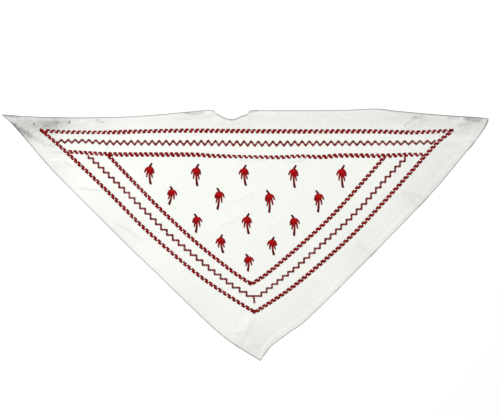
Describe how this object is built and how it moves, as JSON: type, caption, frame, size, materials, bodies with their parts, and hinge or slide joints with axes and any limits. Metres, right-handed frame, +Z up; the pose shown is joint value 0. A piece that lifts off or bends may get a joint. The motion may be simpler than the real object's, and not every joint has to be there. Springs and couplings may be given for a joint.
{
  "type": "neckerchief",
  "caption": "Triangular cotton neckerchief lying flat, with stitched borders, zigzag lines and small palm trees embroidered on its upper side.",
  "frame": {"origin": "middle of the outline's box, on the surface that the cloth rests on", "axes": "+X along the long edge, +Y from the lower point towards the long edge, +Z up through the embroidered side"},
  "size_m": [0.76, 0.3939, 0.0043],
  "materials": {
    "cotton": "matt off-white plain weave",
    "band_thread": "satin red embroidery thread",
    "zigzag_thread": "thin dark red sewing thread",
    "palm_thread": "satin bright red embroidery thread"
  },
  "bodies": {
    "root": {"cloth_panel": "cotton", "hem_top": "cotton", "hem_right": "cotton", "hem_left": "cotton", "outer_band_top": "band_thread", "outer_band_left": "band_thread", "outer_band_right": "band_thread", "zigzag_top": "zigzag_thread", "zigzag_left": "zigzag_thread", "zigzag_right": "zigzag_thread", "inner_band_top": "band_thread", "inner_band_left": "band_thread", "inner_band_right": "band_thread", "palm_01": "palm_thread", "palm_02": "palm_thread", "palm_03": "palm_thread", "palm_04": "palm_thread", "palm_05": "palm_thread", "palm_06": "palm_thread", "palm_07": "palm_thread", "palm_08": "palm_thread", "palm_09": "palm_thread", "palm_10": "palm_thread", "palm_11": "palm_thread", "palm_12": "palm_thread", "palm_13": "palm_thread", "palm_14": "palm_thread", "palm_15": "palm_thread"}
  },
  "joints": []
}
